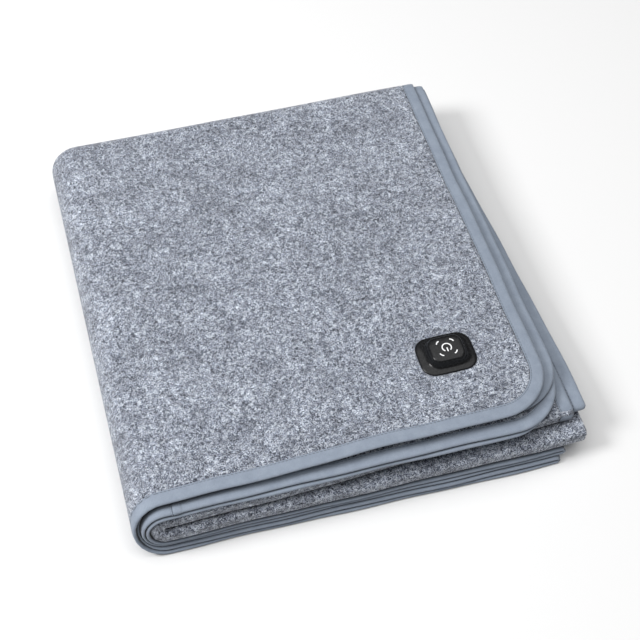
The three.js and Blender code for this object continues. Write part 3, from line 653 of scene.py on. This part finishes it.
def tape_lap():
    """A short length of the tape's outer profile, pushed outwards along its own normals:
    a sharp step at the turned-under end, a seam sunk beside it, then a slope down to the
    tape beneath."""
    path = TAPE_PROFILE[1:26]
    slope = np.gradient(path, axis=0)
    normal = np.stack([slope[:, 1], -slope[:, 0]], 1)
    normal /= np.linalg.norm(normal, axis=1, keepdims=True)
    along = MM * np.array([0.0, 1.0, 3.0, 5.0, 6.6, 7.3, 7.5, 8.0, 8.2, 8.6, 8.88, 9.0])
    rise = np.array([-0.2, 0.3, 0.7, 0.9, 1.0, 0.9, -0.1, -0.1, 0.9, 1.0, 0.8, -0.2]) * LAP_RISE
    outer = path[None] + normal[None] * rise[:, None, None]
    inner = path[None] - normal[None] * 0.5 * LAP_RISE + 0 * outer
    ring = np.concatenate([outer, inner[:, ::-1]], 1)
    points = on_rim(LAP_AT + along[:, None] + 0 * ring[..., 0], ring[..., 0], ring[..., 1])
    rows, columns = points.shape[:2]
    half = columns // 2
    k = np.arange(half - 1)
    last = (rows - 1) * columns
    caps = np.concatenate([
        np.stack([k, k + 1, columns - 2 - k, columns - 1 - k], 1),
        last + np.stack([k + 1, k, columns - 1 - k, columns - 2 - k], 1),
    ])
    faces = np.concatenate([grid_faces(rows, columns, False, True)[:, ::-1], caps])
    uv = np.stack([np.repeat(along, columns), np.tile(np.arange(columns) * 0.7 * MM, rows)], 1)
    return new_piece("tape_lap", points.reshape(-1, 3), faces, uv)


lap = tape_lap()
lap.data.materials.append(tape_material)
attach(lap, "throw")

# ---------------------------------------------------------------- binding stitches
# A row of lockstitches in matching thread holds the tape down on each side.
STITCH_PITCH = 3.2 * MM
STITCH_HALF = 1.25 * MM
STITCH_WIDTH = 0.26 * MM
STITCH_THICK = 0.13 * MM
STITCH_LEVEL = 1.36 * MM
STITCH_ARCH = 0.12 * MM


def stitch_row(name, side):
    """Small spindles laid end to end round the outline: each rises out of the tape and
    dives back in, by a parabola along its length."""
    count = int(PERIMETER / STITCH_PITCH)
    middle = np.arange(count) / count * PERIMETER
    along = np.array([-1, -0.62, 0, 0.62, 1])
    swell = np.array([0.18, 0.85, 1, 0.85, 0.18])
    turn = np.array([[1, 0], [0, 1], [-1, 0], [0, -1]])
    lengths = middle[:, None, None] + STITCH_HALF * along[None, :, None]
    inset = STITCH_INSET + STITCH_WIDTH * swell[None, :, None] * turn[None, None, :, 0]
    arch = STITCH_ARCH * (1 - along ** 2)[None, :, None]
    height = STITCH_LEVEL + arch + STITCH_THICK * swell[None, :, None] * turn[None, None, :, 1]
    points = on_rim(lengths, inset + 0 * lengths, side * (height + 0 * lengths))
    one = grid_faces(5, 4, False, True)
    caps = np.array([[3, 2, 1, 0], [16, 17, 18, 19]])
    one = np.concatenate([one, caps])
    faces = (one[None] + 20 * np.arange(count)[:, None, None]).reshape(-1, 4)
    return new_piece(name, points.reshape(-1, 3), faces if side < 0 else faces[:, ::-1])


def thread_finish():
    """Twisted sewing thread, a shade deeper than the tape."""
    material = bpy.data.materials.new("matching_thread")
    material.use_nodes = True
    tree = material.node_tree
    shader = tree.nodes["Principled BSDF"]
    place = tree.nodes.new("ShaderNodeTexCoord").outputs["Object"]
    twist = add_noise(tree, place, 2600, 1, 0.5)
    colour = ramped(tree, twist, (0.35, (0.105, 0.130, 0.165)), (0.65, (0.175, 0.208, 0.255)))
    tree.links.new(colour, shader.inputs["Base Color"])
    shader.inputs["Roughness"].default_value = 0.6
    return material


thread_material = thread_finish()
for row_name, row_side in (("outer_stitches", 1), ("back_stitches", -1)):
    stitches = stitch_row(row_name, row_side)
    stitches.data.materials.append(thread_material)
    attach(stitches, "throw")

# ---------------------------------------------------------------- heating films
# Carbon-printed heating films lie between the felts in the eight inner plies, with flat
# copper leads that carry current from the controller across and over the folds. The
# sensor and the cut-out are wrapped in the same foil.
FILM_WIDTH = 230 * MM
FILM_LENGTH = 262 * MM
LEAD_WIDTH = 9 * MM
LEAD_GAP = 0.35 * MM
TRAY = 24 * MM
FEED_BEHIND = 70 * MM
MARGIN_U = (REACH - FILM_WIDTH) / 2
MARGIN_V = (RUN - FILM_LENGTH) / 2


def top_ply_flat(x, y):
    """Flat distances of a place on the top ply."""
    u = (top_right - x) * REACH / (top_right - LEFT_TURN)
    v = (y - top_front) * RUN / (BACK_TURN - top_front)
    return u, v


def film_strip(name, from_u, to_u, from_v, to_v):
    """A thin closed strip in the middle of the cloth over a flat rectangle: its upper and
    lower surfaces are grids held half a film's thickness off the middle, with side walls."""
    clear = 0.4 * MM
    inside_u = STATIONS_U[(STATIONS_U > from_u + clear) & (STATIONS_U < to_u - clear)]
    inside_v = STATIONS_V[(STATIONS_V > from_v + clear) & (STATIONS_V < to_v - clear)]
    all_u = np.concatenate([[from_u], inside_u, [to_u]])
    all_v = np.concatenate([[from_v], inside_v, [to_v]])
    u, v = np.meshgrid(all_u, all_v)
    rows, columns = u.shape
    points = np.concatenate([off_cloth(u, v, side * FILM / 2).reshape(-1, 3) for side in (1, -1)])
    layer = rows * columns
    top = grid_faces(rows, columns)
    edge = np.concatenate([
        np.arange(columns - 1),
        np.arange(rows - 1) * columns + columns - 1,
        (rows - 1) * columns + np.arange(columns - 1, 0, -1),
        np.arange(rows - 1, 0, -1) * columns,
    ])
    walls = np.stack([edge, np.roll(edge, -1), np.roll(edge, -1) + layer, edge + layer], 1)
    faces = np.concatenate([top[:, ::-1], top + layer, walls])
    uv = np.tile(np.stack([u.ravel() - from_u, v.ravel() - from_v], -1), (2, 1))
    return new_piece(name, points, faces, uv)


def film_finish():
    """Black carbon ink printed in bars on clear polyester."""
    material = bpy.data.materials.new("carbon_film")
    material.use_nodes = True
    tree = material.node_tree
    shader = tree.nodes["Principled BSDF"]
    flat = tree.nodes.new("ShaderNodeUVMap")
    flat.uv_map = "cloth"
    bars = tree.nodes.new("ShaderNodeTexWave")
    bars.wave_type = "BANDS"
    bars.bands_direction = "Y"
    bars.inputs["Scale"].default_value = 0.314 / (12 * MM)
    tree.links.new(flat.outputs["UV"], bars.inputs["Vector"])
    grain = add_noise(tree, flat.outputs["UV"], 900, 2)
    clear_film = (0.030, 0.030, 0.034)
    carbon_bar = (0.010, 0.010, 0.011)
    ink = ramped(tree, bars.outputs["Fac"], (0.30, clear_film), (0.36, carbon_bar))
    speck = ramped(tree, grain, (0.3, 0.75), (0.7, 1.0))
    tree.links.new(mixed(tree, "MULTIPLY", 0.6, ink, speck), shader.inputs["Base Color"])
    shader.inputs["Roughness"].default_value = 0.42
    return material


def lead_finish():
    """Copper foil under clear film, faintly mottled."""
    material = bpy.data.materials.new("copper_lead")
    material.use_nodes = True
    tree = material.node_tree
    shader = tree.nodes["Principled BSDF"]
    flat = tree.nodes.new("ShaderNodeUVMap")
    flat.uv_map = "cloth"
    rolled = add_noise(tree, flat.outputs["UV"], 400, 3, 0.6)
    colour = ramped(tree, rolled, (0.3, (0.44, 0.20, 0.10)), (0.7, (0.62, 0.31, 0.17)))
    tree.links.new(colour, shader.inputs["Base Color"])
    shader.inputs["Metallic"].default_value = 0.85
    shader.inputs["Roughness"].default_value = 0.38
    return material


film_material = film_finish()
lead_material = lead_finish()
FEED_V = top_ply_flat(BUTTON.x, BUTTON.y + TRAY / 2 + FEED_BEHIND)[1]
FEED_U, FEED_START = top_ply_flat(BUTTON.x, BUTTON.y + TRAY / 2 + LEAD_GAP)
feed_from = FEED_U - LEAD_WIDTH / 2
feed_to = ACROSS_STARTS[6] + MARGIN_U + (FILM_WIDTH + LEAD_WIDTH) / 2
sensor_u = MARGIN_U + FILM_WIDTH / 2 + LEAD_WIDTH
sensor_v = ALONG_STARTS[2] + MARGIN_V - 12 * MM
first_v = ALONG_STARTS[2] + MARGIN_V
second_v = ALONG_STARTS[4] + MARGIN_V
strips = [
    ("cross_feed", "lead", (feed_from, feed_to, FEED_V, FEED_V + LEAD_WIDTH)),
    ("button_lead", "lead", (feed_from, feed_from + LEAD_WIDTH, FEED_START, FEED_V - LEAD_GAP)),
    ("temperature_sensor", "chip", (sensor_u, sensor_u + 3 * MM, sensor_v, sensor_v + 5 * MM)),
    (
        "thermal_cutout", "steel",
        (sensor_u + 8 * MM, sensor_u + 15 * MM, sensor_v, sensor_v + 7 * MM),
    ),
]
for column in range(4):
    start_u = ACROSS_STARTS[2 * column] + MARGIN_U
    lead_u = start_u + (FILM_WIDTH - LEAD_WIDTH) / 2
    film_across = (start_u, start_u + FILM_WIDTH)
    lead_across = (lead_u, lead_u + LEAD_WIDTH)
    first_film = (first_v, first_v + FILM_LENGTH)
    second_film = (second_v, second_v + FILM_LENGTH)
    over_back = (FEED_V + LEAD_WIDTH + LEAD_GAP, first_v - LEAD_GAP)
    over_front = (first_v + FILM_LENGTH + LEAD_GAP, second_v - LEAD_GAP)
    strips += [
        (f"heating_film_{2 * column + 1}", "film", (*film_across, *first_film)),
        (f"heating_film_{2 * column + 2}", "film", (*film_across, *second_film)),
        (f"back_fold_lead_{column + 1}", "lead", (*lead_across, *over_back)),
        (f"front_fold_lead_{column + 1}", "lead", (*lead_across, *over_front)),
    ]
for node, strip_slot, corners in strips:
    strip = film_strip(node + "_strip", *corners)
    strip.data.materials.append(film_material if strip_slot == "film" else lead_material)
    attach(strip, "throw")
    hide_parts(node)

# ---------------------------------------------------------------- silicone button cover
# One moulded skin of black silicone: a thin flange lies on the felt, and rises in a soft
# fillet to the raised key, whose flat top carries the power sign. Each row below is one
# ring of it: half its depth, corner radius, height, and how much wider than deep.
CAP_TOP = 10.6 * MM
BASE = cap_high.z - CAP_TOP
COVER_RINGS = MM * np.array([
    (2.5, 1.5, 10.66, 0.0), (5.0, 3.0, 10.65, 0.4), (8.2, 4.6, 10.62, 1.2),
    (9.6, 5.2, 10.50, 1.6), (10.5, 5.6, 10.20, 1.8), (11.1, 5.9, 9.70, 1.9),
    (11.5, 6.1, 8.90, 2.0), (11.8, 6.3, 7.90, 2.05), (12.1, 6.5, 6.80, 2.1),
    (12.45, 6.8, 5.70, 2.15), (12.95, 7.1, 4.70, 2.3), (13.6, 7.5, 3.90, 2.6),
    (14.5, 8.0, 3.40, 3.0), (15.6, 8.6, 3.10, 3.5), (16.6, 9.2, 2.85, 4.1),
    (17.25, 9.6, 2.50, 4.4), (17.45, 9.8, 2.05, 4.5), (17.4, 9.7, 1.66, 4.5),
    (17.15, 9.5, 1.50, 4.4), (16.95, 8.5, 1.50, 3.6), (16.9, 8.4, 1.60, 3.0),
    (16.8, 8.4, 2.26, 2.6), (14.0, 7.0, 2.32, 1.8), (12.2, 5.8, 2.50, 1.3),
    (11.5, 5.4, 3.30, 1.1), (11.0, 5.2, 4.90, 1.0), (10.4, 4.9, 6.80, 0.9),
    (9.8, 4.6, 8.30, 0.8), (8.4, 4.1, 9.10, 0.7), (5.0, 3.0, 9.20, 0.3),
    (2.5, 1.5, 9.20, 0.0),
])
BOW = 0.035


def rounded_square(half, radius, wider, corner_steps=10, side_steps=6):
    """Rings of a slightly wide square with round corners: quarter circles about four corner
    centres, joined by evenly divided sides, which are then bowed out by a parabola."""
    turn = np.arange(corner_steps + 1) / corner_steps * math.pi / 2
    along = np.arange(1, side_steps) / side_steps
    xs, ys = [], []
    for quarter in range(4):
        angle = turn + quarter * math.pi / 2
        sign_x, sign_y = [(1, 1), (-1, 1), (-1, -1), (1, -1)][quarter]
        x = sign_x * (half + wider - radius)[:, None] + radius[:, None] * np.cos(angle)
        y = sign_y * (half - radius)[:, None] + radius[:, None] * np.sin(angle)
        shift_x, shift_y = [(-1, 0), (0, -1), (1, 0), (0, 1)][quarter]
        xs += [x, x[:, -1:] + shift_x * 2 * along * (half + wider - radius)[:, None]]
        ys += [y, y[:, -1:] + shift_y * 2 * along * (half - radius)[:, None]]
    x, y = np.concatenate(xs, 1), np.concatenate(ys, 1)
    bow_x = 1 + BOW * (1 - (y / half[:, None]) ** 2)
    bow_y = 1 + BOW * (1 - (x / (half + wider)[:, None]) ** 2)
    return x * bow_x, y * bow_y


def silicone_cover():
    """The cover's profile as rounded-square rings, from the middle of the top, out over
    the dome and flange, and back inside, closed at a pole at each end."""
    half, radius, height, wider = COVER_RINGS.T
    x, y = rounded_square(half, radius, wider)
    z = np.broadcast_to(height[:, None], x.shape)
    grid = np.stack([BUTTON.x + x, BUTTON.y + y, BASE + z], -1)
    rows, columns = x.shape
    poles = np.array([grid[0].mean(0), grid[-1].mean(0)])
    points = np.concatenate([grid.reshape(-1, 3), poles])
    first = np.arange(columns)
    last = (rows - 1) * columns + first
    top_pole = np.full(columns, rows * columns)
    end_pole = top_pole + 1
    faces = np.concatenate([
        grid_faces(rows, columns, False, True)[:, ::-1],
        np.stack([top_pole, top_pole, first, np.roll(first, -1)], 1),
        np.stack([last, end_pole, end_pole, np.roll(last, -1)], 1),
    ])
    return new_piece("silicone_cover", points, faces)


def silicone_finish():
    """Black silicone rubber: satin, with a fine moulded grain and a trace of dust in it."""
    material = bpy.data.materials.new("black_silicone")
    material.use_nodes = True
    tree = material.node_tree
    shader = tree.nodes["Principled BSDF"]
    place = tree.nodes.new("ShaderNodeTexCoord").outputs["Object"]
    dust = add_noise(tree, place, 700, 4, 0.65)
    grain = add_noise(tree, place, 5200, 2, 0.5)
    patch = add_noise(tree, place, 120, 2, 0.5)
    rubber_black = (0.0075, 0.0078, 0.0085)
    dust_grey = (0.022, 0.023, 0.025)
    colour = ramped(tree, dust, (0.45, rubber_black), (0.78, dust_grey))
    tree.links.new(colour, shader.inputs["Base Color"])
    rough = ramped(tree, patch, (0.3, 0.20), (0.7, 0.27))
    tree.links.new(rough, shader.inputs["Roughness"])
    shader.inputs["Specular IOR Level"].default_value = 0.22
    bump = tree.nodes.new("ShaderNodeBump")
    bump.inputs["Strength"].default_value = 0.12
    bump.inputs["Distance"].default_value = 0.03 * MM
    tree.links.new(grain, bump.inputs["Height"])
    tree.links.new(bump.outputs["Normal"], shader.inputs["Normal"])
    return material


cover = silicone_cover()
cover.data.materials.append(silicone_finish())
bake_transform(cover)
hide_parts("button_skirt", "button_cap")


# ---------------------------------------------------------------- printed sign
# The power mark and the four corner arcs are a raised white ink print, slightly uneven.
# The finishes of the controller's hard pieces are made the same way.


def plain_finish(name, dark, light, scale, roughness, metallic=0.0, bump_depth=0.02):
    """A mottled solid finish: shade and bump follow noise of scale cells to the metre."""
    material = bpy.data.materials.new(name)
    material.use_nodes = True
    tree = material.node_tree
    shader = tree.nodes["Principled BSDF"]
    place = tree.nodes.new("ShaderNodeTexCoord").outputs["Object"]
    mottle = add_noise(tree, place, scale, 3, 0.6)
    tree.links.new(ramped(tree, mottle, (0.35, dark), (0.65, light)), shader.inputs["Base Color"])
    shader.inputs["Roughness"].default_value = roughness
    shader.inputs["Metallic"].default_value = metallic
    bump = tree.nodes.new("ShaderNodeBump")
    bump.inputs["Strength"].default_value = 0.3
    bump.inputs["Distance"].default_value = bump_depth * MM
    tree.links.new(mottle, bump.inputs["Height"])
    tree.links.new(bump.outputs["Normal"], shader.inputs["Normal"])
    return material


def finish_nodes(material, *nodes):
    """Gives CAD nodes a finish by assigning it to their material slots."""
    for node in nodes:
        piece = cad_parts[node]
        for place in piece.material_slots:
            place.material = material
        if not piece.material_slots:
            piece.data.materials.append(material)


ink = plain_finish("white_ink", (0.74, 0.75, 0.76), (0.90, 0.90, 0.90), 1800, 0.55)
finish_nodes(ink, "power_ring", "power_bar", *(f"corner_arc_{k}" for k in range(1, 5)))

# ---------------------------------------------------------------- controller inside
# A moulded case sits in the hole through both felts, closed by a rear cover with four
# screws, and holds the inlet, the board and the switch that the button presses.
INSIDE_FINISHES = (
    ("case_plastic", (0.020, 0.021, 0.023), (0.034, 0.035, 0.038), 1500, 0.55, 0,
     ("switch_housing", "rear_cover")),
    ("inlet_plastic", (0.012, 0.012, 0.013), (0.022, 0.022, 0.024), 1100, 0.42, 0,
     ("power_socket",)),
    ("screw_steel", (0.42, 0.43, 0.45), (0.62, 0.62, 0.64), 2400, 0.32, 1,
     ("cover_screw_1", "cover_screw_2", "cover_screw_3", "cover_screw_4")),
    ("board_green", (0.012, 0.085, 0.040), (0.020, 0.130, 0.060), 900, 0.4, 0,
     ("circuit_board",)),
    ("chip_epoxy", (0.012, 0.012, 0.013), (0.026, 0.026, 0.028), 2600, 0.5, 0,
     ("control_chip", "power_switch_chip", "switch_body")),
    ("red_plunger", (0.20, 0.045, 0.030), (0.29, 0.070, 0.046), 1300, 0.45, 0,
     ("switch_plunger",)),
    ("ceramic_tan", (0.36, 0.27, 0.16), (0.48, 0.37, 0.23), 2000, 0.5, 0,
     ("smoothing_capacitor",)),
    ("terminal_nylon", (0.62, 0.60, 0.54), (0.74, 0.72, 0.66), 1500, 0.5, 0,
     ("heater_terminal",)),
    ("light_lens", (0.72, 0.72, 0.62), (0.86, 0.86, 0.78), 1200, 0.22, 0,
     ("level_light_1", "level_light_2", "level_light_3", "level_light_4")),
)
for name, dark, light, cells, roughness, metallic, nodes in INSIDE_FINISHES:
    finish_nodes(plain_finish(name, dark, light, cells, roughness, metallic), *nodes)
